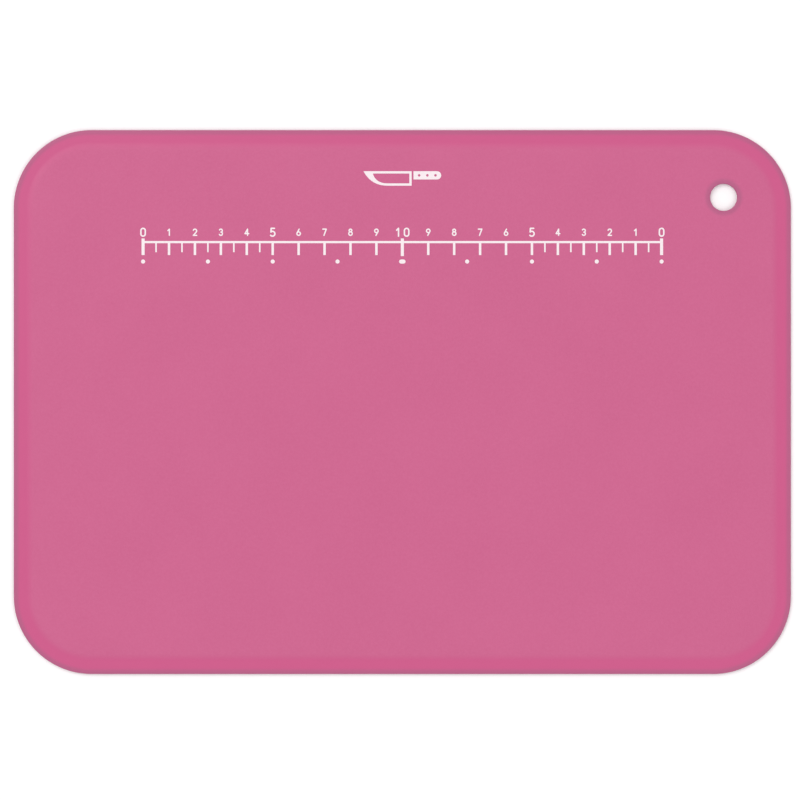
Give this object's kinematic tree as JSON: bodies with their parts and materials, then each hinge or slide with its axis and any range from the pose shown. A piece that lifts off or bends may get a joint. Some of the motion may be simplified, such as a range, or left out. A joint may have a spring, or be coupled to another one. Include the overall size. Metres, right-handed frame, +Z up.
{
  "type": "flexible cutting board",
  "caption": "Thin flexible board with rounded corners, a raised working panel inside a smooth border, a hanging hole in one corner and a printed centimetre scale near one long edge.",
  "frame": {"origin": "middle of the flat underside", "axes": "+X along the long side, with the hanging hole at the +X end; +Y towards the edge with the printed scale; +Z up out of the printed face"},
  "size_m": [0.3, 0.21, 0.0021],
  "materials": {
    "board": "fine satin texture on the panel, smoother on the border",
    "ink": "semi-matt white print"
  },
  "bodies": {
    "root": {"board_sheet": "board", "scale_line": "ink", "numeral_left_0": "ink", "numeral_left_1": "ink", "numeral_left_2": "ink", "numeral_left_3": "ink", "numeral_left_4": "ink", "numeral_left_5": "ink", "numeral_left_6": "ink", "numeral_left_7": "ink", "numeral_left_8": "ink", "numeral_left_9": "ink", "numeral_right_0": "ink", "numeral_right_1": "ink", "numeral_right_2": "ink", "numeral_right_3": "ink", "numeral_right_4": "ink", "numeral_right_5": "ink", "numeral_right_6": "ink", "numeral_right_7": "ink", "numeral_right_8": "ink", "numeral_right_9": "ink", "numeral_middle_1": "ink", "numeral_middle_0": "ink", "dot_left_25mm": "ink", "dot_left_50mm": "ink", "dot_left_75mm": "ink", "dot_left_100mm": "ink", "dot_right_25mm": "ink", "dot_right_50mm": "ink", "dot_right_75mm": "ink", "dot_right_100mm": "ink", "dot_middle": "ink", "mark_blade": "ink", "mark_handle": "ink"}
  },
  "joints": []
}
